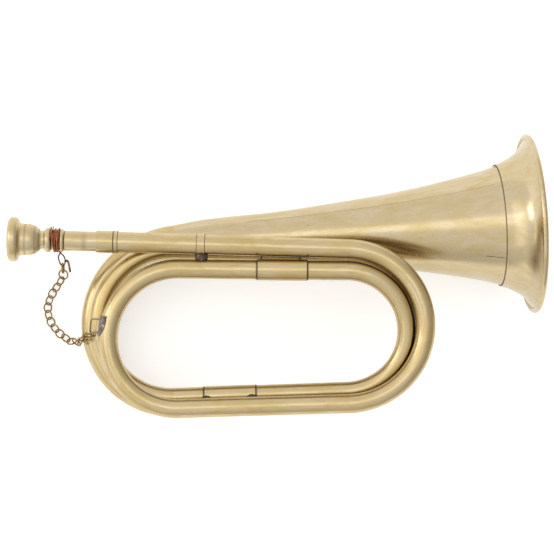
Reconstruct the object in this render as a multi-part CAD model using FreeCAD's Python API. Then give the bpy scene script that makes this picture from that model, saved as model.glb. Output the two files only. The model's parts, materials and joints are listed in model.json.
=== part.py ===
import FreeCAD, Part
import math
import os

from FreeCAD import Placement, Rotation, Vector

# A small three-coil brass bugle, lying on its side with its mouthpiece and keeper chain. Millimetres.
#
# The horn is laid out in its loop plane first: x runs towards the bell, y across the coil towards the
# leadpipe side, and z up out of the coil. Leadpipe, front bows and mouthpiece are in the layer z = 0,
# and each further coil lies one layer lower. lay_down() then sets the whole horn on the ground, on its
# bell rim and its lowest bow, with the origin under the middle of its bounding box.

# ---- driving dimensions ----
TUBE_RADIUS = 5.0
TUBE_WALL = 0.4
LAYER = 10.5  # from one coil's centre line to the next
GAP = 0.06  # running clearance of the mouthpiece shank

# Bows: name, side, centre x and y, centre line radius, layer it enters in and layer it leaves in.
BOWS = [
    ("bow_right_front", "right", 37.3, -25.4, 39.5, 0, 0),
    ("bow_left_front", "left", -50.9, -32.0, 36.3, 0, 0),
    ("bow_right_inner", "right", 36.3, -28.0, 31.1, 0, 1),
    ("bow_left_middle", "left", -53.6, -24.4, 38.9, 1, 1),
    ("bow_right_back", "right", 35.4, -26.6, 38.5, 1, 2),
    ("bow_left_back", "left", -54.1, -25.8, 43.0, 2, 2.35),
]
RUNS = [
    "run_bottom_front",
    "run_top_front",
    "run_bottom_middle",
    "run_top_middle",
    "run_bottom_back",
]
# Ferrules: name, the run whose two halves it joins, where it begins and ends in x, and its wall.
FERRULES = [
    ("ferrule_top_front", "run_top_front", -10.3, 15.7, 0.45),
    ("ferrule_bottom_middle", "run_bottom_middle", -37.9, -10.9, 0.3),
    ("ferrule_top_middle", "run_top_middle", -8.0, 12.0, 0.15),
    ("ferrule_bottom_back", "run_bottom_back", -30.0, -8.0, 0.15),
]
BOW_TURN = math.radians(45)  # turn of each of a bow's four arcs
SWELL_STATIONS = 4  # sections in each arc of the back left bow, which swells towards the bell
SWELL_POWER = 2.5

# Leadpipe and receiver, by distance from the face of the mouthpiece rim
RIM_FACE = Vector(-138.7, 19.65, 0)
RECEIVER_START = 45.4
RECEIVER_RADIUS = 5.7
RING_START = 54.3
RING_LENGTH = 2.3
LEADPIPE_RADIUS = 5.35
LEADPIPE_WALL = 0.4
BAND_START = 97.1
BAND_LENGTH = 4.5
BAND_WALL = 0.3
LIP = 0.25  # rounding of the receiver's mouth
BAND_EDGE = 0.2  # rounding of the bands' edges

# Mouthpiece
SHANK_RADIUS = 5.1
SHANK_TAPER = 0.028  # loss of radius for each unit of length
SHANK_DEPTH = 8.5  # how far the shank goes into the receiver, which is a little longer
THROAT_RADIUS = 1.9
NECK_RADIUS = 4.65

# Bell: the throat is where the last bow ends
BELL_RISE = 3.1  # degrees that its axis climbs across the coil plane
BELL_SPLAY = 3.6  # degrees that its axis leans down out of the coil plane
BELL_WALL = 0.5
THROAT_OUTER = 9.1
BELL_OUTLINE = [
    (11.5, 10.8),
    (24.0, 11.9),
    (49.0, 13.1),
    (69.0, 14.8),
    (94.0, 17.5),
    (120.0, 20.8),
    (149.5, 26.1),
    (171.7, 31.7),
    (174.5, 32.7),
]
# The garland is the flared outer piece. Its first two points lap over the last two of the bell.
GARLAND_OUTLINE = [(171.7, 32.22), (174.5, 33.22), (180.5, 36.2), (185.3, 39.9), (189.2, 46.0)]
BEAD_RADIUS = 1.5
BEAD_AT = (189.5, 46.3)

# Chain: the route of its ring centres from the mouthpiece to the horn, as x and y in the loop plane and
# height over the ground. It drops from the wire eye, lies on the ground and climbs to the bracket.
CHAIN_ROUTE = [
    (-112.4, 4.7, 6.2),
    (-112.4, 0.9, 4.2),
    (-114.1, -2.6, 3.0),
    (-118.3, -9.2, 2.6),
    (-120.4, -17.0, 2.6),
    (-118.0, -25.0, 2.6),
    (-113.6, -30.3, 2.6),
    (-110.2, -32.7, 3.2),
    (-104.8, -34.2, 8.6),
    (-102.0, -33.2, 13.4),
    (-100.2, -31.9, 18.0),
    (-98.2, -30.3, 22.9),
]
CHAIN_RINGS = 18
RING_RADIUS = 2.5  # to the middle of the wire
RING_WIRE = 0.4
RING_LEAN = 45.0  # degrees that each ring leans, to one side and the other in turn
FIRST_LEANS = [90.0, 15.0, -60.0]  # the rings that hang from the wire eye

# Keeper wire: a few turns round the mouthpiece neck, a tail and an eye that holds the first ring
KEEPER_WIRE = 0.34
WRAP_TURNS = 5
WRAP_START = 23.6  # first turn, from the rim face
WRAP_PITCH = 0.66
WRAP_CLEARANCE = 0.03
EYE_HALF_WIDTH = 1.25
EYE_TOP = (-112.6, 10.9, 14.6)  # x, y and height over the ground, as in the chain's route
EYE_BOTTOM = (-112.3, 5.9, 7.2)

# Bracket of the chain: a plate soldered on the flank of the front left bow, with a wire loop
PLATE_THICKNESS = 0.7
PLATE_OUTLINE = [
    (-94.0, -20.6),
    (-88.6, -20.9),
    (-88.0, -21.9),
    (-88.4, -24.0),
    (-89.6, -27.6),
    (-91.7, -30.1),
    (-94.0, -30.6),
]
PLATE_LOWEST = -3.2
LOOP_WIRE = 0.4
LOOP_POINTS = [(-92.2, -21.7, 0.2), (-96.0, -21.7, -0.7), (-96.9, -29.0, -2.7), (-91.9, -28.6, -0.3)]
LOOP_BEND = 1.1  # how far before and after a corner of the loop its bend begins

# Solder between tubes that lie side by side: name, x, the two tubes with their radii there, drop radius
SOLDERS = [
    ("solder_stay_top", -39.0, "leadpipe", 5.65, "run_top_front", 5.0, 3.4),
    ("solder_leadpipe_back", 22.0, "leadpipe", 5.1, "run_top_middle", 5.0, 2.6),
    ("solder_bottom_left", -36.5, "run_bottom_front", 5.0, "run_bottom_middle", 5.3, 3.4),
    ("solder_bottom_right", -13.0, "run_bottom_front", 5.0, "run_bottom_middle", 5.3, 3.4),
    ("solder_bottom_back", 10.0, "run_bottom_middle", 5.0, "run_bottom_back", 5.0, 3.0),
]

# How the horn lies: rotation of the loop plane about its y and its x, in degrees
PITCH = -13.37
ROLL = 2.3


# ---- geometry helpers ----
def unit(vector):
    return Vector(vector).normalize()


def layer_height(layer):
    return -layer * LAYER


def bow_corners(side, x, y, radius, layer_in, layer_out):
    """The four corner points round which a half-circle bow turns, always clockwise seen from above."""
    first = 67.5 if side == "right" else -112.5
    reach = radius / math.cos(BOW_TURN / 2)
    corners = []
    for step in range(4):
        angle = math.radians(first - 45 * step)
        drop = layer_height(layer_in + (layer_out - layer_in) * step / 3)
        corners.append(Vector(x + reach * math.cos(angle), y + reach * math.sin(angle), drop))
    return corners


def arc_at(corner, before, after, reach):
    """An arc tangent to both legs of a corner, starting and ending reach from it."""
    start = corner + unit(before - corner) * reach
    end = corner + unit(after - corner) * reach
    turn = unit(corner - before).getAngle(unit(after - corner))
    radius = reach / math.tan(turn / 2)
    inward = unit(unit(before - corner) + unit(after - corner))
    middle = corner + inward * (radius / math.cos(turn / 2) - radius)
    return Part.Arc(start, middle, end).toShape()


def disc(centre, direction, radius):
    return Part.Face(Part.Wire(Part.makeCircle(radius, centre, direction)))


def tube(edges, outer, inner):
    """A hollow tube swept along edges that follow each other smoothly."""
    path = Part.Wire(edges)
    start = edges[0].valueAt(edges[0].FirstParameter)
    along = edges[0].tangentAt(edges[0].FirstParameter)
    ring = disc(start, along, outer).cut(disc(start, along, inner)).Faces[0]
    return path.makePipe(ring)


def rod(edges, radius):
    path = Part.Wire(edges)
    start = edges[0].valueAt(edges[0].FirstParameter)
    along = edges[0].tangentAt(edges[0].FirstParameter)
    return path.makePipe(disc(start, along, radius))


def pipe_between(start, end, outer, inner):
    along = end - start
    solid = Part.makeCylinder(outer, along.Length, start, along)
    return solid.cut(Part.makeCylinder(inner, along.Length, start, along))


def turned(edges, origin, along):
    """Turn a closed outline of (radius, 0, distance) edges round an axis."""
    face = Part.Face(Part.Wire(Part.__sortEdges__(edges)))
    solid = face.revolve(Vector(0, 0, 0), Vector(0, 0, 1), 360)
    solid.Placement = Placement(origin, Rotation(Vector(0, 0, 1), along))
    return solid


def profile_point(distance, radius):
    return Vector(radius, 0, distance)


def outline(start, *steps):
    """Edges from (distance, radius) pairs: a pair is a straight line, two pairs are an arc."""
    here = profile_point(*start)
    edges = []
    for step in steps:
        if isinstance(step[0], tuple):
            there = profile_point(*step[1])
            edges.append(Part.Arc(here, profile_point(*step[0]), there).toShape())
        else:
            there = profile_point(*step)
            edges.append(Part.LineSegment(here, there).toShape())
        here = there
    return edges


# ---- the path of the air: leadpipe, six bows and five runs, bell ----
corners = {name: bow_corners(*rest) for name, *rest in BOWS}
reaches = {name: (c[1] - c[0]).Length / 2 for name, c in corners.items()}
names = [bow[0] for bow in BOWS]

lead_along = unit(corners[names[0]][0] - RIM_FACE)
rise = math.tan(math.radians(BELL_RISE))
splay = math.tan(math.radians(BELL_SPLAY))
bell_along = unit(Vector(1, rise, -splay))


def along_lead(distance):
    return RIM_FACE + lead_along * distance


def bow_edges(name):
    """The four arcs of a bow, from the leg it comes out of to the leg it goes into."""
    index = names.index(name)
    own = corners[name]
    before = RIM_FACE if index == 0 else corners[names[index - 1]][3]
    after = own[3] + bell_along if index == 5 else corners[names[index + 1]][0]
    chain = [before] + own + [after]
    return [arc_at(chain[i], chain[i - 1], chain[i + 1], reaches[name]) for i in range(1, 5)]


bows = {name: bow_edges(name) for name in names}


def bow_start(name):
    return bows[name][0].valueAt(bows[name][0].FirstParameter)


def bow_end(name):
    return bows[name][3].valueAt(bows[name][3].LastParameter)


parts = {}


# ---- bows ----
for name in names[:5]:
    parts[name] = tube(bows[name], TUBE_RADIUS, TUBE_RADIUS - TUBE_WALL)


def swelling_rings(edges, start_radius, end_radius):
    """Circles along a bend whose radius grows from start to end, slowly first and then fast."""
    total = len(edges) * SWELL_STATIONS
    rings = []
    for index in range(total + 1):
        which = min(index // SWELL_STATIONS, len(edges) - 1)
        edge = edges[which]
        share = index / SWELL_STATIONS - which
        at = edge.FirstParameter + share * (edge.LastParameter - edge.FirstParameter)
        radius = start_radius + (end_radius - start_radius) * (index / total) ** SWELL_POWER
        rings.append(Part.Wire(Part.makeCircle(radius, edge.valueAt(at), edge.tangentAt(at))))
    return rings


def swelling_tube(edges, outer_radii, inner_radii):
    """A hollow bend that grows wider, closed at both ends by flat rings."""
    outer = swelling_rings(edges, *outer_radii)
    inner = swelling_rings(edges, *inner_radii)
    skins = [Part.makeLoft(rings, False, False) for rings in (outer, inner)]
    ends = [Part.Face(outer[i]).cut(Part.Face(inner[i])) for i in (0, -1)]
    skin = Part.makeCompound(skins + ends)
    skin.sewShape()
    return Part.makeSolid(skin.Shells[0])


parts["bow_left_back"] = swelling_tube(
    bows["bow_left_back"],
    (TUBE_RADIUS, THROAT_OUTER),
    (TUBE_RADIUS - TUBE_WALL, THROAT_OUTER - BELL_WALL),
)

# ---- runs, in two halves where a ferrule joins them ----
for index, run in enumerate(RUNS):
    start = bow_end(names[index])
    end = bow_start(names[index + 1])
    ferrule = [f for f in FERRULES if f[1] == run]
    if not ferrule:
        parts[run] = pipe_between(start, end, TUBE_RADIUS, TUBE_RADIUS - TUBE_WALL)
        continue
    name, _, first, last, wall = ferrule[0]
    along = end - start

    def on_run(x):
        return start + along * ((x - start.x) / along.x)

    middle = on_run((first + last) / 2)
    left, right = (start, end) if start.x < end.x else (end, start)
    bore = TUBE_RADIUS - TUBE_WALL
    parts[run + "_left"] = pipe_between(left, middle, TUBE_RADIUS, bore)
    parts[run + "_right"] = pipe_between(middle, right, TUBE_RADIUS, bore)
    parts[name] = pipe_between(on_run(first), on_run(last), TUBE_RADIUS + wall, TUBE_RADIUS)

# ---- leadpipe, receiver and bands ----
leadpipe_start = RING_START
leadpipe_end = (bow_start("bow_right_front") - RIM_FACE).Length
leadpipe = outline(
    (leadpipe_start, LEADPIPE_RADIUS),
    (leadpipe_end, TUBE_RADIUS),
    (leadpipe_end, TUBE_RADIUS - TUBE_WALL),
    (leadpipe_start, LEADPIPE_RADIUS - LEADPIPE_WALL),
    (leadpipe_start, LEADPIPE_RADIUS),
)
parts["leadpipe"] = turned(leadpipe, RIM_FACE, lead_along)


def shank_radius(distance):
    """Outer radius of the tapered shank, at a distance from the rim face."""
    return SHANK_RADIUS - SHANK_TAPER * max(0, distance - RECEIVER_START)


receiver = outline(
    (RECEIVER_START + LIP, RECEIVER_RADIUS),
    (RING_START, RECEIVER_RADIUS),
    (RING_START, shank_radius(RING_START) + GAP),
    (RECEIVER_START, shank_radius(RECEIVER_START) + GAP),
    (RECEIVER_START, RECEIVER_RADIUS - LIP),
    ((RECEIVER_START + LIP * 0.3, RECEIVER_RADIUS - LIP * 0.3), (RECEIVER_START + LIP, RECEIVER_RADIUS)),
)
parts["receiver_sleeve"] = turned(receiver, RIM_FACE, lead_along)


def band(start, length, outer):
    """A thin ring round the leadpipe, with its two outer edges rounded."""
    end = start + length
    edge = BAND_EDGE

    def inner(distance):
        share = (distance - leadpipe_start) / (leadpipe_end - leadpipe_start)
        return LEADPIPE_RADIUS + (TUBE_RADIUS - LEADPIPE_RADIUS) * share

    ring = outline(
        (start, inner(start)),
        (end, inner(end)),
        (end, outer - edge),
        ((end - 0.3 * edge, outer - 0.3 * edge), (end - edge, outer)),
        (start + edge, outer),
        ((start + 0.3 * edge, outer - 0.3 * edge), (start, outer - edge)),
        (start, inner(start)),
    )
    return turned(ring, RIM_FACE, lead_along)


parts["receiver_ring"] = band(RING_START, RING_LENGTH, RECEIVER_RADIUS + 0.05)
parts["leadpipe_band"] = band(BAND_START, BAND_LENGTH, LEADPIPE_RADIUS + BAND_WALL)

# ---- mouthpiece ----
shank_end = RECEIVER_START + SHANK_DEPTH
mouthpiece = outline(
    (1.6, 8.1),
    ((0.35, 8.8), (0.0, 9.7)),
    ((0.8, 11.05), (2.75, 11.6)),
    ((4.6, 11.1), (5.5, 9.8)),
    ((6.0, 8.7), (7.3, 8.25)),
    (9.2, 8.15),
    ((13.3, 7.5), (16.0, 5.7)),
    ((16.6, 4.95), (17.6, NECK_RADIUS)),
    (18.5, NECK_RADIUS),
    ((20.5, 6.3), (22.5, NECK_RADIUS)),
    (26.6, NECK_RADIUS),
    ((27.6, 5.9), (28.8, SHANK_RADIUS)),
    (28.9, SHANK_RADIUS - 0.2),
    (29.2, SHANK_RADIUS - 0.2),
    (29.3, SHANK_RADIUS),
    (RECEIVER_START, SHANK_RADIUS),
    (shank_end - 0.4, shank_radius(shank_end)),
    (shank_end, shank_radius(shank_end) - 0.3),
    (shank_end, 3.7),
    (20.0, THROAT_RADIUS),
    (14.5, THROAT_RADIUS),
    ((11.2, 5.0), (5.5, 7.3)),
    (1.6, 8.1),
)
parts["mouthpiece"] = turned(mouthpiece, RIM_FACE, lead_along)

# ---- bell, garland and rim bead ----
throat = bow_end("bow_left_back")


def spline(points):
    curve = Part.BSplineCurve()
    curve.interpolate([profile_point(*p) for p in points])
    return curve.toShape()


def shell(points, wall):
    """A thin turned skin: outer outline, and the same outline moved inwards by the wall."""
    inside = [(distance, radius - wall) for distance, radius in points]
    ends = [
        Part.LineSegment(profile_point(*points[0]), profile_point(*inside[0])).toShape(),
        Part.LineSegment(profile_point(*points[-1]), profile_point(*inside[-1])).toShape(),
    ]
    return turned([spline(points), spline(inside)] + ends, throat, bell_along)


parts["bell"] = shell([(0, THROAT_OUTER)] + BELL_OUTLINE, BELL_WALL)
bead_circle = Part.makeCircle(BEAD_RADIUS, profile_point(*BEAD_AT), Vector(0, 1, 0))
bead = turned([bead_circle], throat, bell_along)
parts["bell_rim_bead"] = bead
parts["bell_garland"] = shell(GARLAND_OUTLINE, BELL_WALL).cut(bead)


# ---- how the horn lies ----
lay_rotation = Rotation(Vector(1, 0, 0), ROLL).multiply(Rotation(Vector(0, 1, 0), PITCH))
upright = lay_rotation.inverted().multVec(Vector(0, 0, 1))


def laid_box(shapes):
    """The box round shapes once they are turned as the horn lies."""
    whole = Part.makeCompound([shape.copy() for shape in shapes])
    whole.Placement = Placement(Vector(0, 0, 0), lay_rotation)
    return whole.optimalBoundingBox(False, False)


box = laid_box(parts.values())
lay_shift = Vector(-box.Center.x, -box.Center.y, -box.ZMin)
lay_down = Placement(lay_shift, lay_rotation)


def over_ground(x, y, height):
    """The point straight through (x, y) of the loop plane that lies at a height over the ground."""
    z = (height - lay_shift.z - upright.x * x - upright.y * y) / upright.z
    return Vector(x, y, z)


# ---- chain ----
route = Part.BSplineCurve()
route.interpolate([over_ground(*point) for point in CHAIN_ROUTE])
ring_centres = route.discretize(Number=CHAIN_RINGS)


def ring_frame(index):
    """Where a ring points along the chain, and its normal, which leans from the coil's normal."""
    before = ring_centres[max(index - 1, 0)]
    after = ring_centres[min(index + 1, CHAIN_RINGS - 1)]
    along = unit(after - before)
    lean = RING_LEAN if index % 2 else -RING_LEAN
    if index < len(FIRST_LEANS):
        lean = FIRST_LEANS[index]
    level = unit(Vector(0, 0, 1) - along * along.z)
    return along, Rotation(along, lean).multVec(level)


for index, centre in enumerate(ring_centres):
    ring = Part.makeTorus(RING_RADIUS, RING_WIRE, centre, ring_frame(index)[1])
    parts["chain_ring_%02d" % (index + 1)] = ring


# ---- keeper wire ----
def rounded_rod(points, reach, radius):
    """A wire through points, with each inner corner rounded."""
    edges = []
    here = points[0]
    for before, corner, after in zip(points, points[1:], points[2:]):
        arc = arc_at(corner, before, after, reach)
        edges.append(Part.LineSegment(here, arc.valueAt(arc.FirstParameter)).toShape())
        edges.append(arc)
        here = arc.valueAt(arc.LastParameter)
    edges.append(Part.LineSegment(here, points[-1]).toShape())
    return rod(edges, radius)


wrap_radius = NECK_RADIUS + KEEPER_WIRE + WRAP_CLEARANCE
turns = [
    Part.makeTorus(
        wrap_radius, KEEPER_WIRE, along_lead(WRAP_START + turn * WRAP_PITCH), lead_along
    )
    for turn in range(WRAP_TURNS)
]

eye_top = over_ground(*EYE_TOP)
eye_bottom = over_ground(*EYE_BOTTOM)
eye_along = unit(eye_top - eye_bottom)
eye_across = unit(lead_along - eye_along * lead_along.dot(eye_along)) * EYE_HALF_WIDTH
eye_end = eye_along * EYE_HALF_WIDTH
eye_edges = [
    Part.LineSegment(eye_bottom + eye_across + eye_end, eye_top + eye_across - eye_end).toShape(),
    Part.Arc(
        eye_top + eye_across - eye_end, Vector(eye_top), eye_top - eye_across - eye_end
    ).toShape(),
    Part.LineSegment(eye_top - eye_across - eye_end, eye_bottom - eye_across + eye_end).toShape(),
    Part.Arc(
        eye_bottom - eye_across + eye_end, Vector(eye_bottom), eye_bottom + eye_across + eye_end
    ).toShape(),
]
eye = rod(eye_edges, KEEPER_WIRE)
down = unit(lead_along.cross(Vector(0, 0, 1)))
tail_start = along_lead(WRAP_START + 2.4 * WRAP_PITCH) + down * wrap_radius
tail = rod([Part.LineSegment(tail_start, eye_top + eye_along * 0.1).toShape()], KEEPER_WIRE)
parts["keeper_wire"] = turns[0].multiFuse(turns[1:] + [tail, eye])

# ---- bracket of the chain ----
_, _, bow_x, bow_y, bow_radius, _, _ = BOWS[1]
bow_centre = Vector(bow_x, bow_y, 0)
plate_wire = Part.makePolygon(
    [Vector(x, y, PLATE_LOWEST) for x, y in PLATE_OUTLINE + PLATE_OUTLINE[:1]]
)
plate_column = Part.Face(plate_wire).extrude(Vector(0, 0, 4 * TUBE_RADIUS))
outside = Part.makeTorus(bow_radius, TUBE_RADIUS + PLATE_THICKNESS, bow_centre, Vector(0, 0, 1))
inside = Part.makeTorus(bow_radius, TUBE_RADIUS, bow_centre, Vector(0, 0, 1))
parts["chain_plate"] = outside.common(plate_column).cut(inside)
loop = rounded_rod([Vector(*point) for point in LOOP_POINTS], LOOP_BEND, LOOP_WIRE)
parts["chain_loop"] = loop.cut(outside)


# ---- solder that holds the coils together ----
axes = {"leadpipe": (RIM_FACE, lead_along)}
for run, before, after in zip(RUNS, names, names[1:]):
    axes[run] = (bow_end(before), unit(bow_start(after) - bow_end(before)))


def axis_point(tube_name, x):
    start, along = axes[tube_name]
    return start + along * ((x - start.x) / along.x)


for name, x, tube_one, radius_one, tube_two, radius_two, size in SOLDERS:
    middle = (axis_point(tube_one, x) + axis_point(tube_two, x)) / 2
    drop = Part.makeSphere(size, middle)
    for tube_name, radius in ((tube_one, radius_one), (tube_two, radius_two)):
        along = axes[tube_name][1]
        start = axis_point(tube_name, x) - along * 2 * size
        drop = drop.cut(Part.makeCylinder(radius, 4 * size, start, along))
    parts[name] = drop

# ---- hand the pieces over ----
os.makedirs("parts", exist_ok=True)
for name, shape in parts.items():
    shape.Placement = lay_down.multiply(shape.Placement)
    shape.exportStep("parts/" + name + ".step")
    print(name, round(shape.Volume, 1), shape.isValid(), len(shape.Solids))
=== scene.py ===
import json
import math
import random

import bpy
import numpy as np
from mathutils import Matrix, Vector


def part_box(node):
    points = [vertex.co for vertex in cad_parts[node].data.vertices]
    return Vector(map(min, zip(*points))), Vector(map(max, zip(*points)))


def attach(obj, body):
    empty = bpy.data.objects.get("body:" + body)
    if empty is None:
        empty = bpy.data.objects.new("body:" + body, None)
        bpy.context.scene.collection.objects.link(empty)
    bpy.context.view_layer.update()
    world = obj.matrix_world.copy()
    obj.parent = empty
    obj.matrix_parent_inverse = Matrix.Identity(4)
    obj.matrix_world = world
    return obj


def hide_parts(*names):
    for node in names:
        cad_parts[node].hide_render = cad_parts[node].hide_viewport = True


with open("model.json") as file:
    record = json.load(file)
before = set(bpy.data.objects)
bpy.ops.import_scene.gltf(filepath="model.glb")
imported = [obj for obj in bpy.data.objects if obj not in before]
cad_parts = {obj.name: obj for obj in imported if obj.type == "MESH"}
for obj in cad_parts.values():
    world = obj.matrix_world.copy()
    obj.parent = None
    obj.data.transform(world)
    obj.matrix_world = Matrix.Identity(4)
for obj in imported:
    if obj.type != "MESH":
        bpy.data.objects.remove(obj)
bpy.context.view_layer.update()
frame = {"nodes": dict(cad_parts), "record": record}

# A small three-coil brass bugle on its side. Sizes are in millimetres in the loop plane: x towards the
# bell, y towards the leadpipe side, z up out of the coil. LAY takes that plane into the row frame.
MM = 0.001

# ---- the horn's driving sizes, as in the CAD model ----
TUBE_RADIUS = 5.0
TUBE_WALL = 0.4
LAYER = 10.5
BOWS = [
    ("bow_right_front", "right", 37.3, -25.4, 39.5, 0, 0),
    ("bow_left_front", "left", -50.9, -32.0, 36.3, 0, 0),
    ("bow_right_inner", "right", 36.3, -28.0, 31.1, 0, 1),
    ("bow_left_middle", "left", -53.6, -24.4, 38.9, 1, 1),
    ("bow_right_back", "right", 35.4, -26.6, 38.5, 1, 2),
    ("bow_left_back", "left", -54.1, -25.8, 43.0, 2, 2.35),
]
RUNS = ["run_bottom_front", "run_top_front", "run_bottom_middle", "run_top_middle", "run_bottom_back"]
FERRULES = {
    "run_top_front": ("ferrule_top_front", -10.3, 15.7, 0.45),
    "run_bottom_middle": ("ferrule_bottom_middle", -37.9, -10.9, 0.3),
    "run_top_middle": ("ferrule_top_middle", -8.0, 12.0, 0.15),
    "run_bottom_back": ("ferrule_bottom_back", -30.0, -8.0, 0.15),
}
RIM_FACE = Vector((-138.7, 19.65, 0))
RECEIVER_START = 45.4
RECEIVER_RADIUS = 5.7
RING_START = 54.3
RING_LENGTH = 2.3
LEADPIPE_RADIUS = 5.35
BAND_START = 97.1
BAND_LENGTH = 4.5
SHANK_RADIUS = 5.1
SHANK_TAPER = 0.028
SHANK_DEPTH = 8.5
NECK_RADIUS = 4.65
BELL_RISE = math.tan(math.radians(3.1))
BELL_SPLAY = math.tan(math.radians(3.6))
BELL_WALL = 0.5
THROAT_OUTER = 9.1
BELL_OUTLINE = [
    (0, 9.1),
    (11.5, 10.8),
    (24.0, 11.9),
    (49.0, 13.1),
    (69.0, 14.8),
    (94.0, 17.5),
    (120.0, 20.8),
    (149.5, 26.1),
    (171.7, 31.7),
    (174.5, 32.7),
]
GARLAND_OUTLINE = [(171.7, 32.22), (174.5, 33.22), (180.5, 36.2), (185.3, 39.9), (189.2, 46.0)]
BEAD_RADIUS = 1.5
BEAD_AT = (189.5, 46.3)
PITCH = math.radians(-13.37)
ROLL = math.radians(2.3)
CHAIN_RINGS = 18
RINGS_PER_BODY = 3
RING_RADIUS = 2.5
RING_WIRE = 0.4
KEEPER_WIRE = 0.34
EYE_TOP = (-112.6, 10.9, 14.6)  # x, y and height over the ground
EYE_BOTTOM = (-112.3, 5.9, 7.2)
LOOP_POINTS = [(-92.2, -21.7, 0.2), (-96.0, -21.7, -0.7), (-96.9, -29.0, -2.7), (-91.9, -28.6, -0.3)]
LOOP_WIRE = 0.4
PLATE_THICKNESS = 0.7

# ---- how the loop plane lies in the row frame ----
mounts = {mount["name"]: mount for mount in frame["record"]["mounts"]}
turn = Matrix.Rotation(ROLL, 4, "X") @ Matrix.Rotation(PITCH, 4, "Y")
rim_centre = Vector(mounts["mouthpiece_rim"]["pos_m"])
LAY = Matrix.Translation(rim_centre - turn @ (RIM_FACE * MM)) @ turn @ Matrix.Scale(MM, 4)
X_AXIS = turn.to_3x3() @ Vector((1, 0, 0))
Y_AXIS = turn.to_3x3() @ Vector((0, 1, 0))
Z_AXIS = turn.to_3x3() @ Vector((0, 0, 1))

random.seed(7)
BACK = LAY.inverted()


# ---- the air's path ----
def bow_corners(side, x, y, radius, layer_in, layer_out):
    first = 67.5 if side == "right" else -112.5
    reach = radius / math.cos(math.radians(22.5))
    corners = []
    for step in range(4):
        angle = math.radians(first - 45 * step)
        drop = -LAYER * (layer_in + (layer_out - layer_in) * step / 3)
        corners.append(Vector((x + reach * math.cos(angle), y + reach * math.sin(angle), drop)))
    return corners


def arc_path(corner, before, after, reach, steps):
    """Points and directions along an arc tangent to both legs of a corner."""
    into = (corner - before).normalized()
    out = (after - corner).normalized()
    start = corner - into * reach
    angle = into.angle(out)
    radius = reach / math.tan(angle / 2)
    inward = (out - into * into.dot(out)).normalized()
    centre = start + inward * radius
    path = []
    for step in range(steps + 1):
        a = angle * step / steps
        point = centre + (into * math.sin(a) - inward * math.cos(a)) * radius
        path.append((point, into * math.cos(a) + inward * math.sin(a)))
    return path


names = [bow[0] for bow in BOWS]
corners = {name: bow_corners(*rest) for name, *rest in BOWS}
bell_along = Vector((1, BELL_RISE, -BELL_SPLAY)).normalized()
lead_along = (corners[names[0]][0] - RIM_FACE).normalized()


def bow_path(name, steps=14):
    index = names.index(name)
    own = corners[name]
    before = RIM_FACE if index == 0 else corners[names[index - 1]][3]
    after = own[3] + bell_along if index == 5 else corners[names[index + 1]][0]
    chain = [before] + own + [after]
    reach = (own[1] - own[0]).length / 2
    path = []
    for i in range(1, 5):
        arc = arc_path(chain[i], chain[i - 1], chain[i + 1], reach, steps)
        path += arc if i == 1 else arc[1:]
    return path


bows = {name: bow_path(name) for name in names}
throat = bows["bow_left_back"][-1][0]


def along_lead(distance):
    return RIM_FACE + lead_along * distance


# ---- mesh building ----
def finish_piece(name, mesh, material, node, body):
    piece = bpy.data.objects.new(name, mesh)
    bpy.context.scene.collection.objects.link(piece)
    if not mesh.materials:
        mesh.materials.append(material)
    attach(piece, body)
    for one in [node] if isinstance(node, str) else node:
        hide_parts(one)
    return piece


def skin_mesh(name, rows, grains, stains, closed=True):
    """A mesh from rows of points, each row a closed loop; the last row joins the first if closed."""
    rows = np.array(rows, float)
    count, around = rows.shape[:2]
    verts = rows.reshape(-1, 3)
    faces = []
    for r in range(count if closed else count - 1):
        s = (r + 1) % count
        for k in range(around):
            j = (k + 1) % around
            faces.append((r * around + k, r * around + j, s * around + j, s * around + k))
    mesh = bpy.data.meshes.new(name)
    mesh.from_pydata(verts.tolist(), [], faces)
    mesh.transform(LAY)
    mesh.polygons.foreach_set("use_smooth", [True] * len(mesh.polygons))
    grain = mesh.attributes.new("grain", "FLOAT_VECTOR", "POINT")
    grain.data.foreach_set("vector", np.array(grains, float).ravel())
    stain = mesh.attributes.new("stain", "FLOAT", "POINT")
    stain.data.foreach_set("value", np.array(stains, float).ravel())
    mesh.update()
    mesh.set_sharp_from_angle(angle=math.radians(50))
    return mesh


def ring_basis(along):
    side = along.cross(Vector((0, 0, 1))).normalized()
    return side, side.cross(along)


def sweep_rows(path, radii, around, start_length=0.0, offset=0.0):
    """Rows of points round a path, their grain coordinates and the length along the path."""
    angles = np.linspace(0, 2 * math.pi, around, endpoint=False)
    rows, grains, lengths = [], [], []
    length = start_length
    previous = path[0][0]
    for (point, along), radius in zip(path, radii):
        length += (point - previous).length
        previous = point
        side, up = ring_basis(along)
        rows.append([point + side * (radius * math.cos(a)) + up * (radius * math.sin(a)) for a in angles])
        grains.append(
            [(length + offset, radius * math.cos(a), radius * math.sin(a)) for a in angles]
        )
        lengths.append(length)
    return rows, grains, lengths


def hollow_tube(name, path, outer, inner, around, stain=None, offset=0.0):
    """A tube with a bore: outer rows from start to end, then inner rows back to the start."""
    out_rows, out_grains, lengths = sweep_rows(path, outer, around, offset=offset)
    in_rows, in_grains, _ = sweep_rows(path, inner, around, offset=offset)
    total = lengths[-1]
    marks = [[stain(length, total) if stain else 0.0] * around for length in lengths]
    rows = out_rows + in_rows[::-1]
    grains = out_grains + in_grains[::-1]
    stains = marks + [[0.6] * around for _ in in_rows]
    return skin_mesh(name, rows, grains, stains)


def straight(start, end, steps):
    along = (end - start).normalized()
    return [(start + (end - start) * (i / steps), along) for i in range(steps + 1)]


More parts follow.
